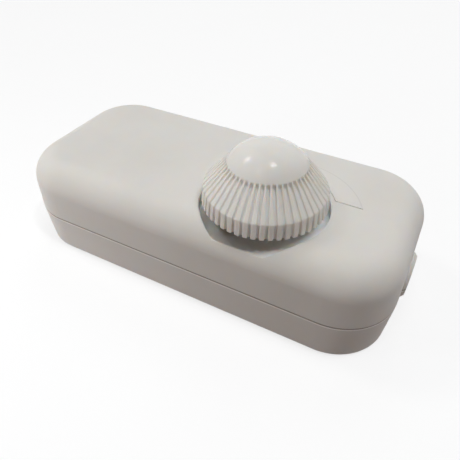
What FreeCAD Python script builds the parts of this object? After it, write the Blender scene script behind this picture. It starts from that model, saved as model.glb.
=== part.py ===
import FreeCAD
import Part
import Sketcher
import math
import os
import re

# Rotary cord dimmer. Two moulded shells meet on a parting line at the height of the cord. A fluted
# knob turns above a round recess of the top, and inside are a potentiometer and a small board.
# Millimetres and degrees. X runs along the case, Y runs to its back, Z rises from the base.

SIZES = {
    # Case
    "case_length": 90.0,
    "case_width": 42.1,
    "case_height": 23.2,
    "corner_radius": 12.5,
    "shoulder_radius": 6.2,
    "base_edge_radius": 1.3,
    "parting_height": 10.2,
    "upper_draft": 1.5,
    "lower_draft": 4.0,
    "parting_chamfer": 0.2,
    "wall": 2.0,
    "lip_height": 1.2,
    "lip_thickness": 0.9,
    "lip_clearance": 0.1,
    # Recess of the knob, and the brightness wedge raised beside it
    "knob_right": 14.4,
    "knob_front": 7.3,
    "recess_radius": 13.6,
    "recess_depth": 2.7,
    "wedge_gap": 1.1,
    "wedge_radius": 17.1,
    "wedge_right": 2.81,
    "wedge_back": 0.53,
    "wedge_start": 7.3,
    "wedge_height": 0.2,
    # Cord inlets, one at each end
    "inlet_radius": 3.25,
    "collar_radius": 5.0,
    "collar_proud": 0.8,
    "collar_edge": 0.6,
    # Knob
    "knob_gap": 3.9,
    "knob_radius": 12.95,
    "rim_draft": 0.35,
    "rim_height": 3.4,
    "rim_edge": 0.5,
    "cone_height": 5.5,
    "dome_radius": 7.9,
    "dome_height": 3.9,
    "knob_wall": 1.4,
    "flute_count": 50,
    "flute_width": 0.66,
    "flute_depth": 0.52,
    "flute_pocket": 1.07,
    "hub_radius": 4.6,
    "hub_gap": 0.5,
    # Potentiometer
    "pot_radius": 7.5,
    "plate_gap": 0.9,
    "can_height": 5.0,
    "can_wall": 0.4,
    "plate_thickness": 1.4,
    "bush_radius": 3.9,
    "bush_proud": 0.5,
    "bush_clearance": 0.3,
    "shaft_radius": 3.0,
    "shaft_flat": 1.5,
    "shaft_top_gap": 0.5,
    "running_clearance": 0.05,
    "end_float": 0.1,
    "shaft_shoulder": 0.3,
    "rotor_radius": 5.8,
    "rotor_thickness": 1.0,
    "rotor_lift": 0.6,
    "spigot_radius": 1.5,
    "spigot_depth": 1.6,
    "clip_radius": 4.4,
    "clip_thickness": 0.6,
    "clip_groove": 0.5,
    "clip_mouth": 4.2,
    "wafer_thickness": 1.0,
    "wafer_clearance": 0.1,
    "tongue_width": 11.0,
    "tongue_reach": 1.6,
    "pin_pitch": 4.5,
    "pin_width": 1.0,
    "pin_thickness": 0.5,
    "wiper_width": 1.2,
    "wiper_thickness": 0.3,
    # Circuit board and the posts under it
    "board_setback": 15.5,
    "board_side_gap": 4.55,
    "board_height": 5.0,
    "board_thickness": 1.6,
    "post_inset": 3.2,
    "post_radius": 2.2,
    "peg_radius": 1.2,
    "peg_clearance": 0.1,
    # Triac on its heat sink
    "sink_gap": 3.5,
    "sink_end": 6.0,
    "sink_depth": 15.2,
    "sink_rise": 8.0,
    "sink_thickness": 1.5,
    "sink_bend": 1.0,
    "sink_border": 1.5,
    "tab_length": 14.6,
    "tab_thickness": 1.3,
    "package_length": 8.6,
    "package_height": 3.2,
    "lead_width": 0.8,
    "lead_thickness": 0.5,
    "lead_share": 0.254,
    "lead_run": 3.0,
    "stud_radius": 1.5,
    "stud_clearance": 0.1,
    "stud_head_radius": 2.5,
    "stud_head_height": 1.9,
    "stud_tail": 0.5,
    "nut_across": 5.5,
    "nut_height": 2.0,
    # Choke, capacitors and small parts
    "choke_setback": 7.0,
    "choke_gap": 3.5,
    "choke_back": 11.3,
    "core_radius": 2.6,
    "core_proud": 2.0,
    "winding_radius": 4.4,
    "film_length": 13.0,
    "film_width": 5.0,
    "film_top_gap": 1.4,
    "film_gap": 1.95,
    "film_back": 5.6,
    "timing_length": 7.2,
    "timing_width": 2.5,
    "timing_height": 6.5,
    "timing_gap": 2.05,
    "timing_back": 5.6,
    "mould_radius": 0.5,
    "resistor_radius": 1.2,
    "resistor_length": 6.3,
    "resistor_pitch": 3.4,
    "resistor_front": 9.5,
    "diac_radius": 0.95,
    "diac_length": 4.2,
    "diac_gap": 2.05,
    "diac_back": 1.5,
    "wire_radius": 0.3,
    "wire_run": 1.4,
    "part_lift": 0.4,
    # Fuse
    "fuse_gap": 1.5,
    "fuse_back": 12.6,
    "fuse_length": 20.0,
    "fuse_radius": 2.6,
    "fuse_bore": 2.0,
    "cap_length": 5.0,
    "cap_wall": 0.2,
    "clip_width": 4.0,
    "clip_metal": 0.4,
    "fuse_wire_radius": 0.15,
    # Terminal blocks
    "block_depth": 7.0,
    "block_height": 9.5,
    "pole_pitch": 5.0,
    "pole_wall": 0.8,
    "output_back": 6.0,
    "cage_height": 4.4,
    "cage_floor": 1.2,
    "cage_gap": 0.1,
    "wire_hole": 1.3,
    "grub_radius": 1.2,
    "grub_head_radius": 1.6,
    "grub_head_height": 1.2,
    "grub_inset": 1.0,
    # Cord clamps
    "clamp_setback": 8.0,
    "clamp_width": 6.0,
    "clamp_span": 16.0,
    "clamp_thickness": 2.4,
    "clamp_hole_pitch": 11.2,
    "clamp_gap": 0.05,
    "clamp_clearance": 0.65,
    "clamp_post_radius": 2.1,
    "saddle_width": 5.0,
    "saddle_span": 6.2,
    # Screws that cut their own thread, and the small play between pieces that are fixed together
    "snug": 0.02,
    "thread_radius": 1.25,
    "thread_clearance": 0.25,
    "screw_head_radius": 2.5,
    "screw_head_height": 1.8,
    "screw_slot_width": 0.6,
    "screw_slot_depth": 0.8,
    "screw_bite": 5.0,
    "screw_setback": 11.0,
    "screw_recess": 1.0,
    "screw_recess_clearance": 0.2,
    "boss_radius": 3.9,
    "boss_cap": 1.2,
}

# Heights and lengths that follow from the sizes above, under names of their own.
DERIVED = {
    "recess_floor": "case_height - recess_depth",
    "recess_under": "recess_floor - wall",
    "wedge_inside": "recess_radius + wedge_gap",
    "knob_base": "recess_floor + knob_gap",
    "rim_top_radius": "knob_radius - rim_draft",
    "rim_top": "knob_base + rim_height",
    "cone_top": "rim_top + cone_height",
    "knob_top": "cone_top + dome_height",
    "cone_slope": "cone_height / (rim_top_radius - dome_radius)",
    "flute_floor": "rim_top_radius - flute_depth",
    "skirt_radius": "flute_floor - knob_wall",
    "skirt_top": "cone_top - flute_pocket - sqrt(2) * knob_wall",
    "board_top": "board_height + board_thickness",
    "board_length": "case_length - 2 * board_setback",
    "board_width": "case_width - 2 * board_side_gap",
    "switch_height": "recess_under - plate_gap - plate_thickness - can_height - board_top",
    "can_base": "board_top + switch_height",
    "can_top": "can_base + can_height",
    "bush_top": "recess_floor + bush_proud",
    "bush_bore": "shaft_radius + running_clearance",
    "rotor_base": "can_base + can_wall + rotor_lift",
    "rotor_top": "rotor_base + rotor_thickness",
    "shaft_collar_top": "can_top - end_float",
    "clip_base": "bush_top + end_float",
    "clip_top": "clip_base + clip_thickness",
    "hub_base": "clip_top + hub_gap",
    "shaft_top": "cone_top - shaft_top_gap",
    "shaft_collar": "shaft_radius + shaft_shoulder",
    "wafer_base": "can_top - wafer_thickness",
    "wafer_bore": "shaft_collar + bush_clearance",
    "sink_width": "block_inside - sink_gap - sink_end",
    "triac_left": "sink_end + sink_width / 2",
    "tab_width": "sink_width - 2 * sink_border",
    "lead_pitch": "lead_share * tab_width",
    "sink_top": "board_top + sink_thickness",
    "tab_top": "sink_top + tab_thickness",
    "sink_front": "board_width / 2",
    "tab_front": "sink_front - sink_thickness - sink_bend",
    "stud_front": "tab_front - (tab_length - package_length) / 2",
    "timing_right": "block_inside - timing_gap - timing_width / 2",
    "film_right": "timing_right - timing_width / 2 - film_gap - film_length / 2",
    "film_height": "recess_under - film_top_gap - board_top",
    "diac_right": "film_right - film_length / 2 - diac_gap - diac_radius",
    "fuse_right": "block_inside - fuse_gap - fuse_length / 2",
    "fuse_height": "board_top + clip_metal + snug + fuse_radius",
    "choke_start": "choke_setback - board_length / 2",
    "core_length": "fuse_right - fuse_length / 2 - choke_gap - choke_start",
    "winding_length": "core_length - 2 * core_proud",
    "block_end": "board_length / 2 - block_depth / 2",
    "block_inside": "block_end - block_depth / 2",
    "cage_base": "board_top + cage_floor",
    "cage_top": "cage_base + cage_height",
    "wire_axis": "cage_base + pole_wall + wire_hole",
    "cage_depth": "block_depth - 2 * pole_wall - 2 * cage_gap",
    "cage_width": "pole_pitch - 2 * pole_wall - 2 * cage_gap",
    "grub_top": "board_top + block_height - grub_inset",
    "clamp_end": "case_length / 2 - clamp_setback",
    "clamp_base": "parting_height + inlet_radius + clamp_gap",
    "screw_end": "case_length / 2 - screw_setback",
    "screw_back": "clamp_span / 2 + clamp_clearance + boss_radius",
    "screw_seat": "screw_recess + screw_head_height",
    "pilot_radius": "thread_radius + snug",
    "loose_radius": "thread_radius + thread_clearance",
    "post_end": "board_length / 2 - post_inset",
    "post_side": "board_width / 2 - post_inset",
}

doc = FreeCAD.newDocument("dimmer")
sheet = doc.addObject("Spreadsheet::Sheet", "Sizes")
for row, (name, number) in enumerate(SIZES.items(), start=1):
    sheet.set("A%d" % row, name)
    sheet.set("B%d" % row, str(number))
    sheet.setAlias("B%d" % row, name)
spare = doc.addObject("Spreadsheet::Sheet", "Spare")
doc.recompute()

NODES = []
LYING = {
    "X": FreeCAD.Rotation(FreeCAD.Vector(0, 1, 0), 90),
    "Y": FreeCAD.Rotation(FreeCAD.Vector(1, 0, 0), -90),
    "Z": FreeCAD.Rotation(),
}
ENDS = {"input": "-1", "output": "1"}


def linked(text):
    """The words of a formula as links to the sheet's cells."""
    def link(match):
        word = match.group(0)
        if word in DERIVED:
            return "(" + linked(DERIVED[word]) + ")"
        return "Sizes." + word if word in SIZES else word
    return re.sub(r"[a-z_]+", link, text)


def bind(item, **formulas):
    for name, text in formulas.items():
        item.setExpression(name, linked(text))


def place(item, x, y, z):
    for name, text in (("x", x), ("y", y), ("z", z)):
        item.setExpression("Placement.Base." + name, linked(text))


def node(label, item):
    """Names a finished piece and lists it for writing."""
    item.Label = label
    NODES.append(item)
    return item


def box(name, length, width, height, x="0", y="0", z="0"):
    """A block centred on x and y and standing on z."""
    item = doc.addObject("Part::Box", name)
    bind(item, Length=length, Width=width, Height=height)
    place(item, "%s - (%s) / 2" % (x, length), "%s - (%s) / 2" % (y, width), z)
    return item


def cylinder(name, radius, height, x="0", y="0", z="0", along="Z"):
    """A round bar that starts at the point and runs along one axis."""
    item = doc.addObject("Part::Cylinder", name)
    bind(item, Radius=radius, Height=height)
    item.Placement.Rotation = LYING[along]
    place(item, x, y, z)
    return item


def fuse(name, *pieces):
    item = doc.addObject("Part::MultiFuse", name)
    item.Shapes = pieces
    item.Refine = True
    return item


def cut(name, base, *tools):
    item = doc.addObject("Part::Cut", name)
    item.Base = base
    item.Tool = tools[0] if len(tools) == 1 else fuse(name + "_tools", *tools)
    item.Refine = True
    return item


def group(name, *pieces):
    item = doc.addObject("Part::Compound", name)
    item.Links = pieces
    return item


def sketch_on(body, plane, lift="0"):
    sketch = body.newObject("Sketcher::SketchObject", body.Name + "_sketch")
    support = [item for item in body.Origin.OriginFeatures if item.Role == plane][0]
    sketch.AttachmentSupport = (support, "")
    sketch.MapMode = "FlatFace"
    sketch.setExpression("AttachmentOffset.Base.z", linked(lift))
    return sketch


def hold(sketch, name, formula, *where):
    """One named dimension of a sketch, driven by a formula."""
    number = sketch.addConstraint(Sketcher.Constraint(*where))
    sketch.renameConstraint(number, name)
    sketch.setExpression("Constraints." + name, linked(formula))


def worth(text):
    """The present value of a formula, worked out on a spare sheet."""
    spare.set("A1", "=" + linked(text))
    spare.recompute()
    return float(spare.get("A1"))


def rounded_rectangle(sketch, length, width, radius):
    """Rectangle about the sketch's origin with four equal round corners."""
    point = FreeCAD.Vector
    up = point(0, 0, 1)
    half_x, half_y, r = worth(length) / 2, worth(width) / 2, worth(radius)
    corners = [(1, -1, -90), (1, 1, 0), (-1, 1, 90), (-1, -1, 180)]
    lines = [
        (point(r - half_x, -half_y), point(half_x - r, -half_y)),
        (point(half_x, r - half_y), point(half_x, half_y - r)),
        (point(half_x - r, half_y), point(r - half_x, half_y)),
        (point(-half_x, half_y - r), point(-half_x, r - half_y)),
    ]
    for start, end in lines:
        sketch.addGeometry(Part.LineSegment(start, end))
    for side_x, side_y, angle in corners:
        centre = point(side_x * (half_x - r), side_y * (half_y - r))
        turn = math.radians(angle)
        sketch.addGeometry(Part.ArcOfCircle(Part.Circle(centre, up, r), turn, turn + math.pi / 2))
    for line in range(4):
        sketch.addConstraint(Sketcher.Constraint("Tangent", line, 2, line + 4, 1))
        sketch.addConstraint(Sketcher.Constraint("Tangent", line + 4, 2, (line + 1) % 4, 1))
        level = "Horizontal" if line % 2 == 0 else "Vertical"
        sketch.addConstraint(Sketcher.Constraint(level, line))
    for arc in (5, 6, 7):
        sketch.addConstraint(Sketcher.Constraint("Equal", 4, arc))
    sketch.addConstraint(Sketcher.Constraint("Symmetric", 4, 3, 6, 3, -1, 1))
    hold(sketch, "length", length, "DistanceX", 3, 1, 1, 1, 2 * half_x)
    hold(sketch, "width", width, "DistanceY", 0, 1, 2, 1, 2 * half_y)
    hold(sketch, "radius", radius, "Radius", 4, r)


def profile(sketch, corners, arcs=()):
    """Closed outline through corners right of and above the origin, in left-hand order. A corner
    given as 0 lies on an axis, and a side listed in arcs is round about the upright axis."""
    count = len(corners)

    def ring(share):
        turn = 2 * math.pi * share / count
        return FreeCAD.Vector(20 + 10 * math.sin(turn), 20 - 10 * math.cos(turn))

    start = [ring(side) for side in range(count)]
    for side in range(count):
        here, following = start[side], start[(side + 1) % count]
        if side in arcs:
            sketch.addGeometry(Part.Arc(here, ring(side + 0.5), following))
        else:
            sketch.addGeometry(Part.LineSegment(here, following))
    for side in range(count):
        across, rise = corners[side]
        sketch.addConstraint(Sketcher.Constraint("Coincident", side - 1 if side else count - 1, 2, side, 1))
        if across == "0":
            sketch.addConstraint(Sketcher.Constraint("PointOnObject", side, 1, -2))
        else:
            hold(sketch, "across%d" % side, across, "DistanceX", -1, 1, side, 1, start[side].x)
        if rise == "0":
            sketch.addConstraint(Sketcher.Constraint("PointOnObject", side, 1, -1))
        else:
            hold(sketch, "rise%d" % side, rise, "DistanceY", -1, 1, side, 1, start[side].y)
    for side in arcs:
        sketch.addConstraint(Sketcher.Constraint("PointOnObject", side, 3, -2))


def edges_at(shape, z, y=None):
    """The edges that lie level at one height, or along one line of that height."""
    names = []
    for number, edge in enumerate(shape.Edges, start=1):
        reach = edge.BoundBox
        level = abs(reach.ZMin - z) + abs(reach.ZMax - z) < 0.001
        if level and (y is None or abs(reach.YMin - y) + abs(reach.YMax - y) < 0.001):
            names.append("Edge%d" % number)
    return names


def dress(body, kind, names, **formulas):
    """A fillet or chamfer on named edges of the body's last feature."""
    last = body.Tip
    item = body.newObject("PartDesign::" + kind, body.Name + "_" + kind.lower())
    item.Base = (last, names)
    bind(item, **formulas)
    doc.recompute()


def pad(body, sketch, length, draft="0", down=False):
    """Raises or lowers a sketch, drawing its sides in by the draft."""
    item = body.newObject("PartDesign::Pad", body.Name + "_pad")
    item.Profile = sketch
    item.Reversed = down
    bind(item, Length=length, TaperAngle="0 - (%s)" % draft)
    doc.recompute()
    return item


def revolve(body, sketch):
    """Turns a sketch once round its upright axis."""
    item = body.newObject("PartDesign::Revolution", body.Name + "_revolution")
    item.Profile = sketch
    item.ReferenceAxis = (sketch, ["V_Axis"])
    doc.recompute()
    return item


def case_block(name, inset, height, draft="0", down=False):
    """The outline of the case, set in from its outside, raised or lowered from the parting line."""
    body = doc.addObject("PartDesign::Body", name)
    outline = sketch_on(body, "XY_Plane", "parting_height")
    rounded_rectangle(outline, "case_length - 2 * (%s)" % inset, "case_width - 2 * (%s)" % inset,
                      "corner_radius - (%s)" % inset)
    pad(body, outline, height, draft, down)
    return body


def rounded_block(name, length, width, height, x, y, z):
    """A moulded block with round upright edges."""
    body = doc.addObject("PartDesign::Body", name)
    outline = sketch_on(body, "XY_Plane")
    rounded_rectangle(outline, length, width, "mould_radius")
    pad(body, outline, height)
    place(body, x, y, z)
    return body


def d_section(sketch, radius, flat):
    """A circle about the origin with one flat on its back."""
    circle = Part.Circle(FreeCAD.Vector(), FreeCAD.Vector(0, 0, 1), 3)
    arc = Part.ArcOfCircle(circle, math.radians(150), math.radians(390))
    sketch.addGeometry(arc)
    sketch.addGeometry(Part.LineSegment(arc.EndPoint, arc.StartPoint))
    sketch.addConstraint(Sketcher.Constraint("Coincident", 0, 2, 1, 1))
    sketch.addConstraint(Sketcher.Constraint("Coincident", 1, 2, 0, 1))
    sketch.addConstraint(Sketcher.Constraint("Coincident", 0, 3, -1, 1))
    sketch.addConstraint(Sketcher.Constraint("Horizontal", 1))
    hold(sketch, "radius", radius, "Radius", 0, 3)
    hold(sketch, "flat", flat, "DistanceY", -1, 1, 1, 1, 1.5)


def screw(name, x, y, head_base, slot_base, shank_base, shank_length):
    """A slotted round-headed screw standing upright."""
    head = cylinder(name + "_head", "screw_head_radius", "screw_head_height", x, y, head_base)
    shank = cylinder(name + "_shank", "thread_radius", shank_length, x, y, shank_base)
    slot = box(name + "_slot", "2 * screw_head_radius", "screw_slot_width", "screw_slot_depth",
               x, y, slot_base)
    return cut(name, fuse(name + "_blank", head, shank), slot)


KNOB = ("knob_right", "0 - knob_front")
KNOB_X, KNOB_Y = KNOB
STUD = ("0 - triac_left", "0 - stud_front")
SCREWS = [("screw_end", "0 - screw_back"), ("0 - screw_end", "screw_back")]
CLAMP_SCREWS = [("%s * clamp_end" % end, "%s * clamp_hole_pitch / 2" % side)
                for end in ("-1", "1") for side in ("-1", "1")]
POSTS = [("%s * post_end" % end, "%s * post_side" % side) for end in ("-1", "1") for side in ("-1", "1")]


# Cord inlets. A low collar with a bevelled edge stands round the hole at each end of the case, and
# the parting line runs through its middle, so each shell carries one half of it.
collar_rings = []
for end, turn in (("input", -90), ("output", 90)):
    collar = doc.addObject("PartDesign::Body", end + "_collar")
    outline = sketch_on(collar, "XZ_Plane")
    profile(outline, [
        ("0", "case_length / 2 - wall"),
        ("collar_radius", "case_length / 2 - wall"),
        ("collar_radius", "case_length / 2 + collar_proud - collar_edge"),
        ("collar_radius - collar_edge", "case_length / 2 + collar_proud"),
        ("0", "case_length / 2 + collar_proud"),
    ])
    revolve(collar, outline)
    collar.Placement.Rotation = FreeCAD.Rotation(FreeCAD.Vector(0, 1, 0), turn)
    place(collar, "0", "0", "parting_height")
    collar_rings.append(collar)
collars = fuse("collars", *collar_rings)
inlets = cylinder("inlets", "inlet_radius", "case_length + 2 * collar_proud",
                  "0 - case_length / 2 - collar_proud", "0", "parting_height", "X")
collar_halves = {}
for shell, low in (("upper", "parting_height"), ("lower", "parting_height - collar_radius")):
    half = doc.addObject("Part::Common", shell + "_collars")
    half.Base = collars
    half.Tool = box(shell + "_half", "case_length + 2 * collar_proud", "2 * collar_radius", "collar_radius",
                    "0", "0", low)
    collar_halves[shell] = half

# Upper shell. One moulding with a round shoulder, the knob's recess that runs out through the
# shoulder at the front, the raised brightness wedge, and two bosses for the case screws. A rebate
# inside its lower edge takes the lip of the lower shell.
upper_block = case_block("upper_block", "0", "case_height - parting_height", "upper_draft")
dress(upper_block, "Fillet", edges_at(upper_block.Shape, upper_block.Shape.BoundBox.ZMax),
      Radius="shoulder_radius")
dress(upper_block, "Chamfer", edges_at(upper_block.Shape, upper_block.Shape.BoundBox.ZMin),
      Size="parting_chamfer")
upper_space = case_block("upper_space", "wall", "case_height - wall - parting_height", "upper_draft")
dress(upper_space, "Fillet", edges_at(upper_space.Shape, upper_space.Shape.BoundBox.ZMax),
      Radius="shoulder_radius - wall")
recess_seat = cylinder("recess_seat", "recess_radius + wall", "recess_depth + wall", *KNOB, "recess_under")
upper_hollow = cut("upper_hollow", upper_space, recess_seat)
rebate = case_block("rebate", "wall - lip_thickness - lip_clearance", "lip_height + lip_clearance")
upper_outside = fuse("upper_outside", upper_block, collar_halves["upper"])
upper_walls = cut("upper_walls", upper_outside, upper_hollow, rebate)
upper_bosses = []
upper_pilots = []
for x, y in SCREWS:
    upper_bosses.append(cylinder("upper_boss", "boss_radius", "case_height - wall / 2 - parting_height",
                                 x, y, "parting_height"))
    upper_pilots.append(cylinder("upper_pilot", "pilot_radius", "screw_bite + boss_cap",
                                 x, y, "parting_height"))
wedge_disc = cylinder("wedge_disc", "wedge_radius", "wall / 2 + wedge_height", "knob_right + wedge_right",
                      "wedge_back - knob_front", "case_height - wall / 2")
wedge_core = cylinder("wedge_core", "wedge_inside", "wall + wedge_height", *KNOB, "case_height - wall")
wedge_front = box("wedge_front", "4 * wedge_radius", "2 * wedge_radius", "wall + wedge_height", KNOB_X,
                  "wedge_start - knob_front - wedge_radius", "case_height - wall")
wedge = cut("wedge", wedge_disc, wedge_core, wedge_front)
recess = cylinder("recess", "recess_radius", "recess_depth + wall", *KNOB, "recess_floor")
bush_hole = cylinder("bush_hole", "bush_radius + bush_clearance", "wall + recess_depth", *KNOB,
                     "recess_under")
upper_solid = fuse("upper_solid", upper_walls, wedge, *upper_bosses)
node("upper_shell", cut("upper_shell", upper_solid, recess, bush_hole, inlets, *upper_pilots))

# Lower shell. One moulding with the flat base the dimmer rests on, the lip that centres the upper
# shell, posts for the board, bosses for the case screws and the lower halves of the cord grips.
lower_block = case_block("lower_block", "0", "parting_height", "lower_draft", down=True)
dress(lower_block, "Fillet", edges_at(lower_block.Shape, lower_block.Shape.BoundBox.ZMin),
      Radius="base_edge_radius")
dress(lower_block, "Chamfer", edges_at(lower_block.Shape, lower_block.Shape.BoundBox.ZMax),
      Size="parting_chamfer")
lower_space = case_block("lower_space", "wall", "parting_height - wall", "lower_draft", down=True)
lower_walls = cut("lower_walls", fuse("lower_outside", lower_block, collar_halves["lower"]), lower_space)
lip = cut("lip", case_block("lip_block", "wall - lip_thickness", "lip_height"),
          case_block("lip_space", "wall", "lip_height"))
lower_features = [lip]
lower_holes = [inlets]
for x, y in SCREWS:
    lower_features.append(cylinder("lower_boss", "boss_radius", "parting_height - wall / 2",
                                   x, y, "wall / 2"))
    lower_holes.append(cylinder("screw_recess", "screw_head_radius + screw_recess_clearance",
                                "screw_seat", x, y))
    lower_holes.append(cylinder("screw_way", "loose_radius", "parting_height", x, y))
for x, y in POSTS:
    lower_features.append(cylinder("post", "post_radius", "board_height - wall / 2", x, y, "wall / 2"))
    lower_features.append(cylinder("peg", "peg_radius", "board_thickness", x, y, "board_height"))
for x, y in CLAMP_SCREWS:
    lower_features.append(cylinder("clamp_post", "clamp_post_radius", "clamp_base - wall / 2",
                                   x, y, "wall / 2"))
    lower_holes.append(cylinder("clamp_pilot", "pilot_radius", "screw_bite + boss_cap", x, y,
                                "clamp_base - screw_bite - boss_cap"))
for end in ENDS.values():
    lower_features.append(box("saddle", "saddle_width", "saddle_span",
                              "parting_height - inlet_radius - clamp_gap - wall / 2",
                              "%s * clamp_end" % end, "0", "wall / 2"))
lower_solid = fuse("lower_solid", lower_walls, *lower_features)
node("lower_shell", cut("lower_shell", lower_solid, *lower_holes))

# Case screws. They stand in deep recesses of the base, pass the lower bosses and bite in the upper ones.
node("case_screws", group("case_screws", *[
    screw("case_screw", x, y, "screw_recess", "screw_recess", "screw_seat",
          "parting_height + screw_bite - screw_seat")
    for x, y in SCREWS]))

# Knob. One hollow moulding: a smooth dome, a fluted cone and rim, and a hub that is pushed on the
# flatted shaft. The flutes run out through the lower edge and end in pockets under the dome's edge.
knob = doc.addObject("PartDesign::Body", "knob")
knob_outline = sketch_on(knob, "XZ_Plane")
profile(knob_outline, [
    ("0", "hub_base"),
    ("hub_radius", "hub_base"),
    ("hub_radius", "skirt_top"),
    ("dome_radius", "skirt_top"),
    ("skirt_radius", "skirt_top - cone_slope * (skirt_radius - dome_radius)"),
    ("skirt_radius", "knob_base"),
    ("knob_radius", "knob_base"),
    ("rim_top_radius", "rim_top"),
    ("dome_radius", "cone_top"),
    ("0", "knob_top"),
], arcs=(8,))
revolve(knob, knob_outline)
rim_top = sheet.case_height - sheet.recess_depth + sheet.knob_gap + sheet.rim_height
dress(knob, "Fillet", edges_at(knob.Shape, rim_top), Radius="rim_edge")
flute_outline = sketch_on(knob, "XZ_Plane")
profile(flute_outline, [
    ("flute_floor", "knob_base - flute_depth"),
    ("knob_radius + flute_depth", "knob_base - flute_depth"),
    ("knob_radius + flute_depth", "knob_top"),
    ("dome_radius", "knob_top"),
    ("dome_radius", "cone_top - flute_pocket"),
    ("flute_floor", "rim_top"),
])
flute = knob.newObject("PartDesign::Pocket", "flute")
flute.Profile = flute_outline
flute.Midplane = True
bind(flute, Length="flute_width")
flutes = knob.newObject("PartDesign::PolarPattern", "flutes")
flutes.Originals = [flute]
flutes.Axis = (knob_outline, ["V_Axis"])
flutes.Angle = 360
bind(flutes, Occurrences="flute_count")
knob.Tip = flutes
doc.recompute()
bore_outline = sketch_on(knob, "XY_Plane", "hub_base")
d_section(bore_outline, "shaft_radius + snug", "shaft_flat + snug")
bore = knob.newObject("PartDesign::Pocket", "bore")
bore.Profile = bore_outline
bore.Reversed = True
bind(bore, Length="shaft_top + snug - hub_base")
place(knob, *KNOB, "0")
node("knob", knob)

# Potentiometer shaft. It carries the rotor that drives the wiper, a shoulder under the bush, a
# groove for the retaining clip, a spigot that works the switch, and a flat for the knob.
shaft_bar = doc.addObject("PartDesign::Body", "shaft_bar")
shaft_outline = sketch_on(shaft_bar, "XZ_Plane")
profile(shaft_outline, [
    ("0", "can_base - spigot_depth"),
    ("spigot_radius", "can_base - spigot_depth"),
    ("spigot_radius", "rotor_base"),
    ("rotor_radius", "rotor_base"),
    ("rotor_radius", "rotor_top"),
    ("shaft_collar", "rotor_top"),
    ("shaft_collar", "shaft_collar_top"),
    ("shaft_radius", "shaft_collar_top"),
    ("shaft_radius", "clip_base"),
    ("shaft_radius - clip_groove", "clip_base"),
    ("shaft_radius - clip_groove", "clip_top"),
    ("shaft_radius", "clip_top"),
    ("shaft_radius", "shaft_top"),
    ("0", "shaft_top"),
])
revolve(shaft_bar, shaft_outline)
place(shaft_bar, *KNOB, "0")
flat_way = box("flat_way", "2 * shaft_radius", "shaft_radius", "shaft_top - hub_base", KNOB_X,
               "shaft_flat + shaft_radius / 2 - knob_front", "hub_base")
node("pot_shaft", cut("pot_shaft", shaft_bar, flat_way))

# Retaining clip. A spring washer with an open mouth, snapped in the shaft's groove above the bush.
clip_disc = cylinder("clip_disc", "clip_radius", "clip_thickness", *KNOB, "clip_base")
clip_eye = cylinder("clip_eye", "shaft_radius - clip_groove + snug", "clip_thickness", *KNOB, "clip_base")
clip_gate = box("clip_gate", "clip_mouth", "clip_radius", "clip_thickness", KNOB_X,
                "0 - knob_front - clip_radius / 2", "clip_base")
node("shaft_clip", cut("shaft_clip", clip_disc, clip_eye, clip_gate))

# Wiper. A bent strip of spring metal on the rotor that runs along the track above it.
wiper_foot = box("wiper_foot", "rotor_radius - shaft_collar", "wiper_width", "wiper_thickness",
                 "knob_right + (rotor_radius + shaft_collar) / 2", KNOB_Y, "rotor_top")
wiper_finger = box("wiper_finger", "wiper_thickness", "wiper_width", "wafer_base - end_float - rotor_top",
                   "knob_right + rotor_radius - wiper_thickness / 2", KNOB_Y, "rotor_top")
node("pot_wiper", fuse("pot_wiper", wiper_foot, wiper_finger))

# Bush. A cast plate that closes the can, with a bearing for the shaft that rises in the recess floor.
bush_plate = cylinder("bush_plate", "pot_radius", "plate_thickness", *KNOB, "can_top")
bush_tube = cylinder("bush_tube", "bush_radius", "bush_top - can_top", *KNOB, "can_top")
bush_way = cylinder("bush_way", "bush_bore", "bush_top - can_top", *KNOB, "can_top")
node("pot_bush", cut("pot_bush", fuse("bush_blank", bush_plate, bush_tube), bush_way))

# Track wafer. A ring of laminate with the carbon track, and a tongue that carries the pins outside.
wafer_disc = cylinder("wafer_disc", "pot_radius - can_wall - wafer_clearance", "wafer_thickness",
                      *KNOB, "wafer_base")
wafer_tongue = box("wafer_tongue", "pot_radius / 2 + tongue_reach", "tongue_width", "wafer_thickness",
                   "knob_right - 3 * pot_radius / 4 - tongue_reach / 2", KNOB_Y, "wafer_base")
wafer_eye = cylinder("wafer_eye", "wafer_bore", "wafer_thickness", *KNOB, "wafer_base")
node("pot_track", cut("pot_track", fuse("wafer_blank", wafer_disc, wafer_tongue), wafer_eye))

# Pins of the potentiometer, riveted under the tongue and soldered in the board.
node("pot_pins", group("pot_pins", *[
    box("pot_pin", "pin_thickness", "pin_width", "wafer_base - board_top",
        "knob_right - pot_radius - tongue_reach / 2", "%s * pin_pitch - knob_front" % step, "board_top")
    for step in ("-1", "0", "1")]))

# Can of the potentiometer. A drawn cup, notched for the tongue and open in the floor for the spigot.
can_outside = cylinder("can_outside", "pot_radius", "can_height", *KNOB, "can_base")
can_inside = cylinder("can_inside", "pot_radius - can_wall", "can_height - can_wall", *KNOB,
                      "can_base + can_wall")
can_eye = cylinder("can_eye", "spigot_radius + bush_clearance", "can_height", *KNOB, "can_base")
can_notch = box("can_notch", "pot_radius", "tongue_width + 2 * wafer_clearance", "wafer_thickness",
                "knob_right - pot_radius", KNOB_Y, "wafer_base")
node("pot_can", cut("pot_can", can_outside, can_inside, can_eye, can_notch))

# Switch. A closed block under the can that the spigot works at the start of its turn.
switch_block = rounded_block("switch_block", "2 * pot_radius", "2 * pot_radius", "switch_height",
                             *KNOB, "board_top")
switch_eye = cylinder("switch_eye", "spigot_radius + bush_clearance", "spigot_depth + bush_clearance",
                      *KNOB, "can_base - spigot_depth - bush_clearance")
node("pot_switch", cut("pot_switch", switch_block, switch_eye))

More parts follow.
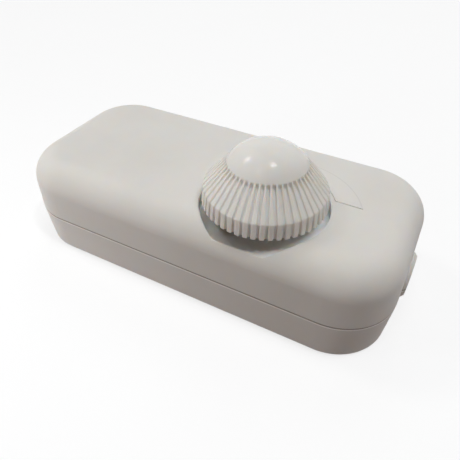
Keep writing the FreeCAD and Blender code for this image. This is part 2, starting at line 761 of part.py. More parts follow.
# Circuit board, lying on the posts with their pegs in its corner holes.
board_holes = [cylinder("peg_hole", "peg_radius + peg_clearance", "board_thickness", x, y, "board_height")
               for x, y in POSTS]
board_holes.append(cylinder("stud_hole", "stud_radius + stud_clearance", "board_thickness",
                            *STUD, "board_height"))
board_plate = box("board_plate", "board_length", "board_width", "board_thickness", "0", "0", "board_height")
node("circuit_board", cut("circuit_board", board_plate, *board_holes))

# Heat sink. Aluminium sheet with one fold, screwed down under the triac along the front of the board.
sink_sheet = doc.addObject("PartDesign::Body", "sink_sheet")
sink_outline = sketch_on(sink_sheet, "YZ_Plane")
profile(sink_outline, [
    ("0", "0"),
    ("sink_depth", "0"),
    ("sink_depth", "sink_thickness"),
    ("sink_thickness", "sink_thickness"),
    ("sink_thickness", "sink_rise"),
    ("0", "sink_rise"),
])
pad(sink_sheet, sink_outline, "sink_width")
dress(sink_sheet, "Fillet", edges_at(sink_sheet.Shape, 0, y=0), Radius="sink_bend + sink_thickness")
dress(sink_sheet, "Fillet", edges_at(sink_sheet.Shape, sheet.sink_thickness, y=sheet.sink_thickness),
      Radius="sink_bend")
place(sink_sheet, "0 - triac_left - sink_width / 2", "0 - sink_front", "board_top")
sink_hole = cylinder("sink_hole", "stud_radius + stud_clearance", "sink_thickness",
                     *STUD, "board_top")
node("heat_sink", cut("heat_sink", sink_sheet, sink_hole))

# Triac. A metal tab on the heat sink, the moulded package on it and three bent leads.
tab_plate = box("tab_plate", "tab_width", "tab_length", "tab_thickness", "0 - triac_left",
                "tab_length / 2 - tab_front", "sink_top")
tab_hole = cylinder("tab_hole", "stud_radius + stud_clearance", "tab_thickness",
                    *STUD, "sink_top")
node("triac_tab", cut("triac_tab", tab_plate, tab_hole))
node("triac_package", rounded_block("triac_package", "tab_width", "package_length", "package_height",
                                    "0 - triac_left", "tab_length - tab_front - package_length / 2",
                                    "tab_top"))
triac_leads = []
for step in ("-1", "0", "1"):
    lead_x = "%s * lead_pitch - triac_left" % step
    lead_y = "tab_length - tab_front"
    lead_run = box("lead_run", "lead_width", "lead_run", "lead_thickness", lead_x,
                   lead_y + " + lead_run / 2", "tab_top + package_height / 4")
    lead_leg = box("lead_leg", "lead_width", "lead_thickness",
                   "tab_top + package_height / 4 + lead_thickness - board_top", lead_x,
                   lead_y + " + lead_run - lead_thickness / 2", "board_top")
    triac_leads.append(fuse("triac_lead", lead_run, lead_leg))
node("triac_leads", group("triac_leads", *triac_leads))

# Screw and nut that hold the triac, the heat sink and the board together.
stud_head = cylinder("stud_head", "stud_head_radius", "stud_head_height", *STUD, "tab_top")
stud_shank = cylinder("stud_shank", "stud_radius", "tab_top - board_height + nut_height + stud_tail",
                      *STUD, "board_height - nut_height - stud_tail")
stud_slot = box("stud_slot", "2 * stud_head_radius", "screw_slot_width", "screw_slot_depth",
                *STUD, "tab_top + stud_head_height - screw_slot_depth")
node("triac_screw", cut("triac_screw", fuse("stud_blank", stud_head, stud_shank), stud_slot))
nut_hex = doc.addObject("Part::Prism", "nut_hex")
nut_hex.Polygon = 6
bind(nut_hex, Circumradius="nut_across / sqrt(3)", Height="nut_height")
place(nut_hex, *STUD, "board_height - nut_height")
nut_hole = cylinder("nut_hole", "stud_radius + snug", "nut_height", *STUD,
                    "board_height - nut_height")
node("triac_nut", cut("triac_nut", nut_hex, nut_hole))

# Choke. A ferrite rod lying on the board in its winding of enamelled wire.
node("choke_core", cylinder("choke_core", "core_radius", "core_length", "choke_start", "choke_back",
                            "board_top + winding_radius", "X"))
coil_start = ("choke_start + core_proud", "choke_back", "board_top + winding_radius")
coil_outside = cylinder("coil_outside", "winding_radius", "winding_length", *coil_start, "X")
coil_inside = cylinder("coil_inside", "core_radius + snug", "winding_length", *coil_start, "X")
node("choke_winding", cut("choke_winding", coil_outside, coil_inside))

# Moulded film capacitors: the large one across the mains and the small one that times the triac.
node("film_capacitor", rounded_block("film_capacitor", "film_length", "film_width", "film_height",
                                     "film_right", "film_back", "board_top"))
node("timing_capacitor", rounded_block("timing_capacitor", "timing_width", "timing_length", "timing_height",
                                       "timing_right", "timing_back", "board_top"))


def wired_part(name, radius, length, x, y):
    """A small round part lying along Y above the board, with a wire bent down at each end."""
    axis = "board_top + part_lift + (%s)" % radius
    reach = "((%s) / 2 + wire_run)" % length
    pieces = [cylinder(name + "_barrel", radius, length, x, "%s - (%s) / 2" % (y, length), axis, "Y")]
    pieces.append(cylinder(name + "_wire", "wire_radius", "2 * " + reach, x, "%s - %s" % (y, reach),
                           axis, "Y"))
    for side in ("-1", "1"):
        elbow = doc.addObject("Part::Sphere", name + "_elbow")
        bind(elbow, Radius="wire_radius")
        place(elbow, x, "%s + %s * %s" % (y, side, reach), axis)
        leg = cylinder(name + "_leg", "wire_radius", "part_lift + (%s)" % radius, x,
                       "%s + %s * %s" % (y, side, reach), "board_top")
        pieces += [elbow, leg]
    return fuse(name, *pieces)


# Resistors in a row and the glass trigger diode behind them.
node("resistors", group("resistors", *[
    wired_part("resistor", "resistor_radius", "resistor_length", "%s * resistor_pitch" % step,
               "0 - resistor_front")
    for step in ("-1", "0", "1")]))
node("trigger_diode", wired_part("trigger_diode", "diac_radius", "diac_length", "diac_right", "diac_back"))

# Fuse. A glass tube with a wire through it and a metal cap on each end, held in two sheet clips.
glass_outside = cylinder("glass_outside", "fuse_radius - cap_wall - snug",
                         "fuse_length - 2 * cap_wall - 2 * snug",
                         "fuse_right - fuse_length / 2 + cap_wall + snug", "fuse_back", "fuse_height", "X")
glass_inside = cylinder("glass_inside", "fuse_bore", "fuse_length", "fuse_right - fuse_length / 2",
                        "fuse_back", "fuse_height", "X")
node("fuse_glass", cut("fuse_glass", glass_outside, glass_inside))
node("fuse_wire", cylinder("fuse_wire", "fuse_wire_radius", "fuse_length - 2 * cap_wall",
                           "fuse_right - fuse_length / 2 + cap_wall", "fuse_back", "fuse_height", "X"))
fuse_caps = []
fuse_clips = []
for side in ("-1", "1"):
    cap_x = "fuse_right + %s * (fuse_length - cap_length) / 2" % side
    cap_outside = cylinder("cap_outside", "fuse_radius", "cap_length", cap_x + " - cap_length / 2",
                           "fuse_back", "fuse_height", "X")
    cap_inside = cylinder("cap_inside", "fuse_radius - cap_wall", "cap_length",
                          cap_x + " - cap_length / 2 - %s * cap_wall" % side,
                          "fuse_back", "fuse_height", "X")
    fuse_caps.append(cut("fuse_cap", cap_outside, cap_inside))
    clip_block = box("clip_block", "clip_width", "2 * (fuse_radius + snug + clip_metal)",
                     "fuse_height + fuse_radius - board_top", cap_x, "fuse_back", "board_top")
    clip_room = box("clip_room", "clip_width", "2 * (fuse_radius + snug)",
                    "fuse_height + fuse_radius - board_top", cap_x, "fuse_back", "board_top + clip_metal")
    fuse_clips.append(cut("fuse_clip", clip_block, clip_room))
node("fuse_caps", group("fuse_caps", *fuse_caps))
node("fuse_clips", group("fuse_clips", *fuse_clips))

# Terminal blocks, one for each cord. Every pole is a metal cage in a pocket of the moulding, with a
# clamping screw from above and a hole for the wire towards the end of the case.
cages = []
grubs = []
for end, sign in ENDS.items():
    block_x = "%s * block_end" % sign
    block_y = "output_back" if end == "output" else "0"
    block = box(end + "_block", "block_depth", "2 * pole_pitch", "block_height",
                block_x, block_y, "board_top")
    hollows = []
    for side in ("-1", "1"):
        pole = (block_x, "%s + %s * pole_pitch / 2" % (block_y, side))
        hollows.append(box("cage_room", "block_depth - 2 * pole_wall", "pole_pitch - 2 * pole_wall",
                           "cage_height + cage_gap", *pole, "cage_base"))
        hollows.append(cylinder("grub_way", "grub_head_radius + cage_gap",
                                "board_top + block_height - cage_base", *pole, "cage_base"))
        hollows.append(cylinder("wire_way", "wire_hole", "block_depth",
                                "%s * (block_end + block_depth / 2) - block_depth / 2" % sign,
                                pole[1], "wire_axis", "X"))
        cage = box("cage", "cage_depth", "cage_width", "cage_height", *pole, "cage_base")
        cage_eye = cylinder("cage_eye", "wire_hole", "cage_depth", block_x + " - cage_depth / 2",
                            pole[1], "wire_axis", "X")
        cage_thread = cylinder("cage_thread", "grub_radius + snug", "cage_top - wire_axis",
                               *pole, "wire_axis")
        cages.append(cut("terminal_cage", cage, cage_eye, cage_thread))
        grub_head = cylinder("grub_head", "grub_head_radius", "grub_head_height", *pole,
                             "grub_top - grub_head_height")
        grub_shank = cylinder("grub_shank", "grub_radius", "grub_top - wire_axis - wire_hole", *pole,
                              "wire_axis + wire_hole")
        grub_slot = box("grub_slot", "2 * grub_head_radius", "screw_slot_width", "screw_slot_depth", *pole,
                        "grub_top - screw_slot_depth")
        grubs.append(cut("terminal_screw", fuse("grub_blank", grub_head, grub_shank), grub_slot))
    node(end + "_terminal", cut(end + "_terminal", block, *hollows))
node("terminal_cages", group("terminal_cages", *cages))
node("terminal_screws", group("terminal_screws", *grubs))

# Cord clamps. A bar across each cord, screwed down on two posts of the lower shell.
for end, sign in ENDS.items():
    bar_x = "%s * clamp_end" % sign
    bar = rounded_block(end + "_bar", "clamp_width", "clamp_span", "clamp_thickness",
                        bar_x, "0", "clamp_base")
    bar_holes = [cylinder("bar_hole", "loose_radius", "clamp_thickness", bar_x,
                          "%s * clamp_hole_pitch / 2" % side, "clamp_base") for side in ("-1", "1")]
    node(end + "_cord_clamp", cut(end + "_cord_clamp", bar, *bar_holes))
node("clamp_screws", group("clamp_screws", *[
    screw("clamp_screw", x, y, "clamp_base + clamp_thickness",
          "clamp_base + clamp_thickness + screw_head_height - screw_slot_depth",
          "clamp_base - screw_bite", "screw_bite + clamp_thickness")
    for x, y in CLAMP_SCREWS]))

doc.recompute()
faulty = [item.Label for item in doc.Objects if "Invalid" in item.State or "Error" in item.State]
if faulty:
    raise ValueError("not built: " + ", ".join(faulty))
os.makedirs("parts", exist_ok=True)
for item in NODES:
    if item.Shape.isNull() or not item.Shape.isValid():
        raise ValueError("no sound shape: " + item.Label)
    item.Shape.exportStep("parts/%s.step" % item.Label)
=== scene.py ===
import math
import bpy
from mathutils import Matrix, Vector


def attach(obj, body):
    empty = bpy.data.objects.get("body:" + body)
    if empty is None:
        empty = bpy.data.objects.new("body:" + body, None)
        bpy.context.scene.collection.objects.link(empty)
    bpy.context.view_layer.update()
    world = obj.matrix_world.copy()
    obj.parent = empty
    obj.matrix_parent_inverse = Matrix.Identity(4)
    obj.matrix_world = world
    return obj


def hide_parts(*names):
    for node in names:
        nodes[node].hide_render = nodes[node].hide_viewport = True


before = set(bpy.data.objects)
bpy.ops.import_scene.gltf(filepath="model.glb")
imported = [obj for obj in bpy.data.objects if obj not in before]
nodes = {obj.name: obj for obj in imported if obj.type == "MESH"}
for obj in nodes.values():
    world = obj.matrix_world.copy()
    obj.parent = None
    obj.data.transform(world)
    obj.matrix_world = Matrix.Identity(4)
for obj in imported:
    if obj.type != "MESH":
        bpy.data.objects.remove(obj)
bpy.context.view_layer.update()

# Case: two halves moulded in warm off-white plastic with a fine satin grain, screwed together from
# below. Dirt darkens the joint, dust and painted shade darken the inner corners, and a painted shade line
# runs along the far arc of the wedge mark. Handling has rubbed the edges paler, a painted highlight runs
# just below the joint, and painted light makes the recess paler where the knob shades it.
CASE_WHITE = (0.705, 0.682, 0.645)
CASE_CREAM = (0.678, 0.653, 0.610)
RUBBED_WHITE = (0.735, 0.715, 0.680)
DUST_AND_SHADE = (0.150, 0.112, 0.080)
JOINT_BROWN = (0.230, 0.150, 0.085)
LIP_HIGHLIGHT = (0.950, 0.920, 0.870)
PAINTED_RECESS_LIGHT = (0.960, 0.950, 0.930)
JOINT_HEIGHT, JOINT_HALF = 0.0102, 0.00018
DIAL_AXIS = (0.0144, -0.0073, 0.0)
RECESS_RADIUS, RECESS_FOOT = 0.01365, 0.0204
RECESS_MOUTH, RECESS_LIGHT_FULL = -0.0200, -0.0175
MARK_AXIS = (0.01721, -0.00677, 0.0)
MARK_RADIUS, MARK_FOOT, ARC_HALF = 0.0171, 0.0233, 0.00025


def add(tree, kind, **inputs):
    """A new shader node. An input takes a number or colour, or another node's output."""
    item = tree.nodes.new("ShaderNode" + kind)
    for name, value in inputs.items():
        socket = item.inputs[name.replace("_", " ")]
        if isinstance(value, bpy.types.NodeSocket):
            tree.links.new(value, socket)
        else:
            socket.default_value = value
    return item


def noise(tree, place, scale, detail=3.0):
    return add(tree, "TexNoise", Vector=place, Scale=scale, Detail=detail).outputs["Fac"]


def spread(tree, value, low, high, start=0.0, end=1.0):
    """The part of a value between low and high, stretched from start to end."""
    item = add(tree, "MapRange", Value=value, From_Min=low, From_Max=high, To_Min=start, To_Max=end)
    return item.outputs["Result"]


def sum_of(tree, kind, *values):
    """One step of arithmetic on numbers or other nodes' outputs."""
    item = tree.nodes.new("ShaderNodeMath")
    item.operation = kind
    for socket, value in zip(item.inputs, values):
        if isinstance(value, bpy.types.NodeSocket):
            tree.links.new(value, socket)
        else:
            socket.default_value = value
    return item.outputs["Value"]


def mixed(tree, amount, first, second):
    """Colour that goes from first to second by an amount."""
    item = tree.nodes.new("ShaderNodeMix")
    item.data_type = "RGBA"
    tree.links.new(amount, item.inputs[0])
    for socket, value in ((item.inputs[6], first), (item.inputs[7], second)):
        if isinstance(value, bpy.types.NodeSocket):
            tree.links.new(value, socket)
        else:
            socket.default_value = (*value, 1.0)
    return item.outputs[2]


def edge_mask(tree, radius):
    """1 along sharp outer edges and corners, 0 on flat faces."""
    rounded = add(tree, "Bevel", Radius=radius).outputs["Normal"]
    true = add(tree, "NewGeometry").outputs["Normal"]
    item = tree.nodes.new("ShaderNodeVectorMath")
    item.operation = "DOT_PRODUCT"
    tree.links.new(rounded, item.inputs[0])
    tree.links.new(true, item.inputs[1])
    return spread(tree, item.outputs["Value"], 0.99, 0.80)


def hollow_mask(tree, reach, rim=0.70, depth=0.25):
    """1 deep in grooves and corners, 0 in the open."""
    shade = add(tree, "AmbientOcclusion", Distance=reach).outputs["AO"]
    return spread(tree, shade, rim, depth)


def shader_of(tree):
    return tree.nodes["Principled BSDF"]


def paint(tree, mask, colour, strength=1.0):
    """Lays one more colour over what the shader already has, where the mask is 1."""
    if strength < 1.0:
        mask = sum_of(tree, "MULTIPLY", mask, strength)
    socket = shader_of(tree).inputs["Base Color"]
    tree.links.new(mixed(tree, mask, socket.links[0].from_socket, colour), socket)


def surface(name, light, dark, worn, patch, gloss, grain, metal=0.0, stretch=None, shine=0.5):
    """Material that drifts between two tones in patches, with a fine raised grain, uneven gloss and
    edges worn to a third tone. Patch and grain are sizes in metres, and a stretched grain runs in lines."""
    material = bpy.data.materials.new(name)
    material.use_nodes = True
    tree = material.node_tree
    shader = shader_of(tree)
    shader.inputs["Metallic"].default_value = metal
    shader.inputs["Specular IOR Level"].default_value = shine
    place = add(tree, "TexCoord").outputs["Object"]
    drift = noise(tree, place, 1 / patch)
    tone = mixed(tree, spread(tree, drift, 0.35, 0.65), light, dark)
    tree.links.new(tone, shader.inputs["Base Color"])
    patchy = spread(tree, drift, 0.3, 0.6, 0.3, 0.8)
    worn_edge = sum_of(tree, "MULTIPLY", edge_mask(tree, 0.0003), patchy)
    paint(tree, worn_edge, worn)
    uneven = spread(tree, noise(tree, place, 2.7 / patch), 0.3, 0.7, *gloss)
    rubbed = sum_of(tree, "SUBTRACT", uneven, sum_of(tree, "MULTIPLY", worn_edge, 0.1))
    tree.links.new(rubbed, shader.inputs["Roughness"])
    if stretch:
        place = add(tree, "Mapping", Vector=place, Scale=stretch).outputs["Vector"]
    size, height = grain
    bump = add(tree, "Bump", Height=noise(tree, place, 1 / size, 2.0), Distance=height, Strength=1.0)
    tree.links.new(bump.outputs["Normal"], shader.inputs["Normal"])
    return tree


def translucent(tree, depth):
    """Lets light a little way into the plastic, so that fine edges look soft."""
    shader = shader_of(tree)
    shader.inputs["Subsurface Weight"].default_value = 1.0
    shader.inputs["Subsurface Radius"].default_value = (1.0, 0.75, 0.55)
    shader.inputs["Subsurface Scale"].default_value = depth


def where(tree, side):
    """One coordinate of the object, in metres."""
    place = add(tree, "TexCoord").outputs["Object"]
    return add(tree, "SeparateXYZ", Vector=place).outputs[side]


def away_from(tree, axis):
    """Level distance from an upright axis, in metres."""
    place = add(tree, "TexCoord").outputs["Object"]
    flat = add(tree, "Mapping", Vector=place, Scale=(1.0, 1.0, 0.0)).outputs["Vector"]
    item = tree.nodes.new("ShaderNodeVectorMath")
    item.operation = "DISTANCE"
    tree.links.new(flat, item.inputs[0])
    item.inputs[1].default_value = axis
    return item.outputs["Value"]


def dress(mesh, tree):
    """Gives a mesh one material in place of what it had."""
    mesh.materials.clear()
    mesh.materials.append(next(item for item in bpy.data.materials if item.node_tree == tree))


case_plastic = surface("case_plastic", CASE_WHITE, CASE_CREAM, RUBBED_WHITE, 0.018, (0.44, 0.54),
                       (0.00022, 0.000005), shine=0.2)
translucent(case_plastic, 0.0012)
# Dust and painted shade darken the fine grooves and corners, following an occlusion mask.
paint(case_plastic, hollow_mask(case_plastic, 0.0006), DUST_AND_SHADE, 0.12)
case_level = where(case_plastic, "Z")
under_knob = sum_of(case_plastic, "LESS_THAN", away_from(case_plastic, DIAL_AXIS), RECESS_RADIUS)
above_floor = sum_of(case_plastic, "GREATER_THAN", case_level, RECESS_FOOT)
in_recess = sum_of(case_plastic, "MULTIPLY", under_knob, above_floor)
# Painted light: the recess floor and wall are painted paler where the knob overhangs and shades them,
# fading out towards the recess's front edge.
behind_mouth = spread(case_plastic, where(case_plastic, "Y"), RECESS_MOUTH, RECESS_LIGHT_FULL)
overhung = hollow_mask(case_plastic, 0.006, rim=0.90, depth=0.55)
recess_light_mask = sum_of(case_plastic, "MULTIPLY", behind_mouth, overhung)
paint(case_plastic, sum_of(case_plastic, "MULTIPLY", in_recess, recess_light_mask), PAINTED_RECESS_LIGHT)
# Painted shade: a thin dark line along the far arc of the raised wedge mark, where its edge turns away from
# the light.
arc_shade_line = sum_of(case_plastic, "COMPARE", away_from(case_plastic, MARK_AXIS), MARK_RADIUS, ARC_HALF)
on_mark = sum_of(case_plastic, "GREATER_THAN", case_level, MARK_FOOT)
paint(case_plastic, sum_of(case_plastic, "MULTIPLY", arc_shade_line, on_mark), DUST_AND_SHADE, 0.12)
in_joint = sum_of(case_plastic, "COMPARE", case_level, JOINT_HEIGHT, JOINT_HALF)
paint(case_plastic, in_joint, JOINT_BROWN, 0.6)
# Painted highlight: a pale line just below the joint, where the lower shell's chamfer faces up.
lip_highlight_band = sum_of(case_plastic, "COMPARE", case_level, JOINT_HEIGHT - 2 * JOINT_HALF, JOINT_HALF)
paint(case_plastic, lip_highlight_band, LIP_HIGHLIGHT, 0.85)
for name in ("upper_shell", "lower_shell"):
    dress(nodes[name].data, case_plastic)

# Circuit board: brown phenolic paper, punched to shape and set over four pegs of the lower half. The
# parts stand on its bare upper side, and the tinned copper of the tracks covers its underside.
board_laminate = surface("board_laminate", (0.42, 0.30, 0.14), (0.34, 0.235, 0.10), (0.52, 0.40, 0.24),
                         0.007, (0.38, 0.52), (0.00030, 0.000010))


def tin_over(tree, mask, tone):
    """Turns the masked part of a material to bare metal."""
    paint(tree, mask, tone)
    tree.links.new(mask, shader_of(tree).inputs["Metallic"])


TRACK_FACE = 0.00502
board_place = add(board_laminate, "TexCoord").outputs["Object"]
copper = add(board_laminate, "TexBrick", Vector=board_place, Scale=70.0, Mortar_Size=0.028,
             Mortar_Smooth=0.0)
between_gaps = sum_of(board_laminate, "SUBTRACT", 1.0, copper.outputs["Fac"])
underside = sum_of(board_laminate, "LESS_THAN", where(board_laminate, "Z"), TRACK_FACE)
tin_over(board_laminate, sum_of(board_laminate, "MULTIPLY", between_gaps, underside), (0.66, 0.65, 0.62))
dress(nodes["circuit_board"].data, board_laminate)

# Heat sink: one strip of aluminium sheet with the lines of the rolling mill, folded up along the front
# of the board and screwed down under the triac.
sink_aluminium = surface("sink_aluminium", (0.77, 0.77, 0.78), (0.69, 0.69, 0.71), (0.88, 0.88, 0.89),
                         0.005, (0.28, 0.42), (0.00012, 0.000006), metal=1.0, stretch=(0.04, 1.0, 1.0))
dress(nodes["heat_sink"].data, sink_aluminium)

# Triac: black epoxy moulded round a nickel-plated tab that carries the heat away, with three tinned
# legs bent down to the board.
black_epoxy = surface("black_epoxy", (0.026, 0.026, 0.027), (0.040, 0.039, 0.038), (0.11, 0.11, 0.11),
                      0.003, (0.42, 0.60), (0.00016, 0.000012))
nickel = surface("nickel", (0.72, 0.70, 0.66), (0.63, 0.61, 0.57), (0.84, 0.82, 0.78), 0.003, (0.16, 0.30),
                 (0.00025, 0.000003), metal=1.0)
tinned_wire = surface("tinned_wire", (0.71, 0.70, 0.67), (0.58, 0.57, 0.55), (0.82, 0.81, 0.79), 0.002,
                      (0.25, 0.45), (0.00015, 0.000005), metal=1.0)
dress(nodes["triac_package"].data, black_epoxy)
dress(nodes["triac_tab"].data, nickel)
dress(nodes["triac_leads"].data, tinned_wire)

# Choke: a fired ferrite rod, dull and nearly black, under close layers of enamelled copper wire. The
# turns of the outer layer are shaped one by one.
ferrite = surface("ferrite", (0.055, 0.050, 0.046), (0.080, 0.074, 0.068), (0.16, 0.15, 0.14), 0.002,
                  (0.55, 0.75), (0.00012, 0.000014))
dress(nodes["choke_core"].data, ferrite)
COIL_START, COIL_END = -0.0205, -0.0045
COIL_Y, COIL_Z = 0.0113, 0.0110
COIL_RADIUS, COIL_INSIDE = 0.0044, 0.00262
WIRE_PITCH = 0.0008
COIL_STEPS, COIL_ROWS = 48, 160


def coil_corner(along, radius, step):
    """One corner of the coil's mesh, a number of steps round the rod."""
    angle = 2 * math.pi * step / COIL_STEPS
    return along, COIL_Y + radius * math.cos(angle), COIL_Z + radius * math.sin(angle)


coil_corners = []
for row in range(COIL_ROWS + 1):
    along = COIL_START + (COIL_END - COIL_START) * row / COIL_ROWS
    for step in range(COIL_STEPS):
        lean = 2 * ((along / WIRE_PITCH - step / COIL_STEPS) % 1.0) - 1
        radius = COIL_RADIUS - WIRE_PITCH / 2 * (1 - math.sqrt(1 - 0.95 * lean * lean))
        coil_corners.append(coil_corner(along, radius, step))
for along in (COIL_END, COIL_START):
    coil_corners += [coil_corner(along, COIL_INSIDE, step) for step in range(COIL_STEPS)]
coil_faces = []
coil_rows = COIL_ROWS + 3
for row in range(coil_rows):
    here, beyond = row * COIL_STEPS, (row + 1) % coil_rows * COIL_STEPS
    for step in range(COIL_STEPS):
        following = (step + 1) % COIL_STEPS
        coil_faces.append((here + step, beyond + step, beyond + following, here + following))
coil_mesh = bpy.data.meshes.new("wound_coil")
coil_mesh.from_pydata(coil_corners, [], coil_faces)
coil_mesh.shade_smooth()
wound_coil = bpy.data.objects.new("wound_coil", coil_mesh)
bpy.context.scene.collection.objects.link(wound_coil)
enamelled_copper = surface("enamelled_copper", (0.62, 0.25, 0.08), (0.50, 0.18, 0.05), (0.74, 0.36, 0.16),
                           0.003, (0.22, 0.38), (0.00020, 0.000004), metal=1.0)
dress(coil_mesh, enamelled_copper)
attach(wound_coil, "housing")
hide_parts("choke_winding")

# Capacitors: film windings sealed with resin in moulded boxes, a large yellow one across the mains and
# a small red one that times the triac.
film_case = surface("film_case", (0.75, 0.55, 0.06), (0.68, 0.48, 0.045), (0.82, 0.66, 0.22), 0.005,
                    (0.26, 0.38), (0.00030, 0.000006))
red_case = surface("red_case", (0.45, 0.040, 0.030), (0.37, 0.030, 0.024), (0.58, 0.14, 0.11), 0.004,
                   (0.24, 0.36), (0.00028, 0.000006))
dress(nodes["film_capacitor"].data, film_case)
dress(nodes["timing_capacitor"].data, red_case)

# Resistors: ceramic rods under tan enamel with painted colour rings, on tinned wires bent down to the
# board. The trigger diode beside them is a blue glass bead on the same wire, with one dark ring.
def ring_of(tree, centre, half):
    """1 in a ring that lies across the board at one depth."""
    return sum_of(tree, "COMPARE", where(tree, "Y"), centre, half)


def bare_ends(tree, middle, half):
    """1 on the wires that stick out of a small part on both sides."""
    away = sum_of(tree, "ABSOLUTE", sum_of(tree, "SUBTRACT", where(tree, "Y"), middle))
    return sum_of(tree, "GREATER_THAN", away, half)


RESISTOR_MIDDLE, RESISTOR_HALF = -0.0095, 0.00316
RING_HALF = 0.00032
TIN = (0.70, 0.69, 0.66)
RINGS = ((-0.0021, (0.20, 0.06, 0.02)), (-0.0010, (0.02, 0.02, 0.02)),
         (0.0001, (0.62, 0.10, 0.02)), (0.0021, (0.60, 0.42, 0.10)))
resistor_enamel = surface("resistor_enamel", (0.62, 0.48, 0.30), (0.55, 0.41, 0.25), (0.72, 0.60, 0.44),
                          0.003, (0.34, 0.48), (0.00018, 0.000008))
for offset, tone in RINGS:
    paint(resistor_enamel, ring_of(resistor_enamel, RESISTOR_MIDDLE + offset, RING_HALF), tone)
tin_over(resistor_enamel, bare_ends(resistor_enamel, RESISTOR_MIDDLE, RESISTOR_HALF), TIN)
dress(nodes["resistors"].data, resistor_enamel)
DIODE_MIDDLE, DIODE_HALF = 0.0015, 0.00211
DARK_RING, DARK_RING_HALF = 0.0027, 0.0004
diode_glass = surface("diode_glass", (0.10, 0.18, 0.42), (0.08, 0.145, 0.36), (0.22, 0.32, 0.56), 0.002,
                      (0.08, 0.18), (0.00025, 0.000003))
paint(diode_glass, ring_of(diode_glass, DARK_RING, DARK_RING_HALF), (0.015, 0.015, 0.018))
tin_over(diode_glass, bare_ends(diode_glass, DIODE_MIDDLE, DIODE_HALF), TIN)
dress(nodes["trigger_diode"].data, diode_glass)

# Fuse: a clear glass tube with one fine tinned wire through it and a nickel-plated cap on each end,
# pushed into two springy bronze clips on the board.
fuse_glass = surface("fuse_glass", (0.94, 0.97, 0.97), (0.90, 0.94, 0.94), (0.97, 0.98, 0.98), 0.006,
                     (0.02, 0.07), (0.00060, 0.000002))
shader_of(fuse_glass).inputs["Transmission Weight"].default_value = 1.0
clip_bronze = surface("clip_bronze", (0.70, 0.58, 0.36), (0.60, 0.47, 0.27), (0.82, 0.72, 0.52), 0.003,
                      (0.22, 0.38), (0.00014, 0.000005), metal=1.0, stretch=(1.0, 0.08, 0.08))
dress(nodes["fuse_glass"].data, fuse_glass)
dress(nodes["fuse_wire"].data, tinned_wire)
dress(nodes["fuse_caps"].data, nickel)
dress(nodes["fuse_clips"].data, clip_bronze)

# Terminals: green moulded blocks soldered to the board, one for each cord. Every pole is a brass cage
# in a pocket, closed on the wire by a screw from above.
terminal_plastic = surface("terminal_plastic", (0.10, 0.28, 0.12), (0.08, 0.23, 0.095), (0.22, 0.42, 0.25),
                           0.006, (0.38, 0.52), (0.00025, 0.000007))
terminal_brass = surface("terminal_brass", (0.72, 0.58, 0.28), (0.62, 0.47, 0.20), (0.84, 0.72, 0.44),
                         0.002, (0.22, 0.40), (0.00016, 0.000006), metal=1.0)
for name in ("input_terminal", "output_terminal"):
    dress(nodes[name].data, terminal_plastic)
dress(nodes["terminal_cages"].data, terminal_brass)

# Potentiometer: a black moulded switch, a drawn steel can, a laminate wafer with its ring of carbon
# track and tinned pins, and a die-cast plate with the bearing, staked together in one stack.
CARBON_RADIUS, CARBON_HALF, WAFER_FACE = 0.0055, 0.0008, 0.01522
switch_plastic = surface("switch_plastic", (0.045, 0.045, 0.045), (0.062, 0.060, 0.058), (0.14, 0.14, 0.14),
                         0.005, (0.40, 0.55), (0.00025, 0.000008))
can_metal = surface("can_metal", (0.66, 0.66, 0.65), (0.56, 0.56, 0.55), (0.80, 0.80, 0.79), 0.004,
                    (0.24, 0.40), (0.00012, 0.000005), metal=1.0, stretch=(1.0, 1.0, 0.06))
cast_metal = surface("cast_metal", (0.60, 0.60, 0.61), (0.50, 0.50, 0.52), (0.74, 0.74, 0.75), 0.004,
                     (0.38, 0.55), (0.00035, 0.000018), metal=1.0)
laminate = surface("laminate", (0.36, 0.24, 0.12), (0.29, 0.19, 0.09), (0.47, 0.34, 0.20), 0.004,
                   (0.42, 0.56), (0.00025, 0.000009))
in_ring = sum_of(laminate, "COMPARE", away_from(laminate, DIAL_AXIS), CARBON_RADIUS, CARBON_HALF)
below_wafer = sum_of(laminate, "LESS_THAN", where(laminate, "Z"), WAFER_FACE)
paint(laminate, sum_of(laminate, "MULTIPLY", in_ring, below_wafer), (0.018, 0.018, 0.018))
dress(nodes["pot_switch"].data, switch_plastic)
dress(nodes["pot_can"].data, can_metal)
dress(nodes["pot_track"].data, laminate)
dress(nodes["pot_pins"].data, tinned_wire)
dress(nodes["pot_bush"].data, cast_metal)

# Shaft: turned aluminium with fine tool rings, a flat milled for the knob, and a rotor that drives the
# wiper. The wiper and the open washer that holds the shaft are rolled spring bronze.
shaft_metal = surface("shaft_metal", (0.72, 0.72, 0.73), (0.64, 0.64, 0.66), (0.85, 0.85, 0.86), 0.004,
                      (0.24, 0.36), (0.00010, 0.000007), metal=1.0, stretch=(0.05, 0.05, 1.0))
spring_metal = surface("spring_metal", (0.75, 0.62, 0.36), (0.65, 0.52, 0.28), (0.86, 0.76, 0.54), 0.002,
                       (0.22, 0.36), (0.00012, 0.000004), metal=1.0, stretch=(1.0, 0.08, 1.0))
dress(nodes["pot_shaft"].data, shaft_metal)
for name in ("shaft_clip", "pot_wiper"):
    dress(nodes[name].data, spring_metal)

# Cord clamps: grey-white moulded bars, one across each cord, pulled down on two posts of the lower half.
# Dust and painted shade darken the corners round their screw holes.
clamp_plastic = surface("clamp_plastic", (0.58, 0.57, 0.54), (0.53, 0.52, 0.485), (0.68, 0.67, 0.65), 0.006,
                        (0.42, 0.56), (0.00025, 0.000008))
# Dust and painted shade in the corners, following an occlusion mask.
paint(clamp_plastic, hollow_mask(clamp_plastic, 0.0006), DUST_AND_SHADE, 0.4)
for name in ("input_cord_clamp", "output_cord_clamp"):
    dress(nodes[name].data, clamp_plastic)

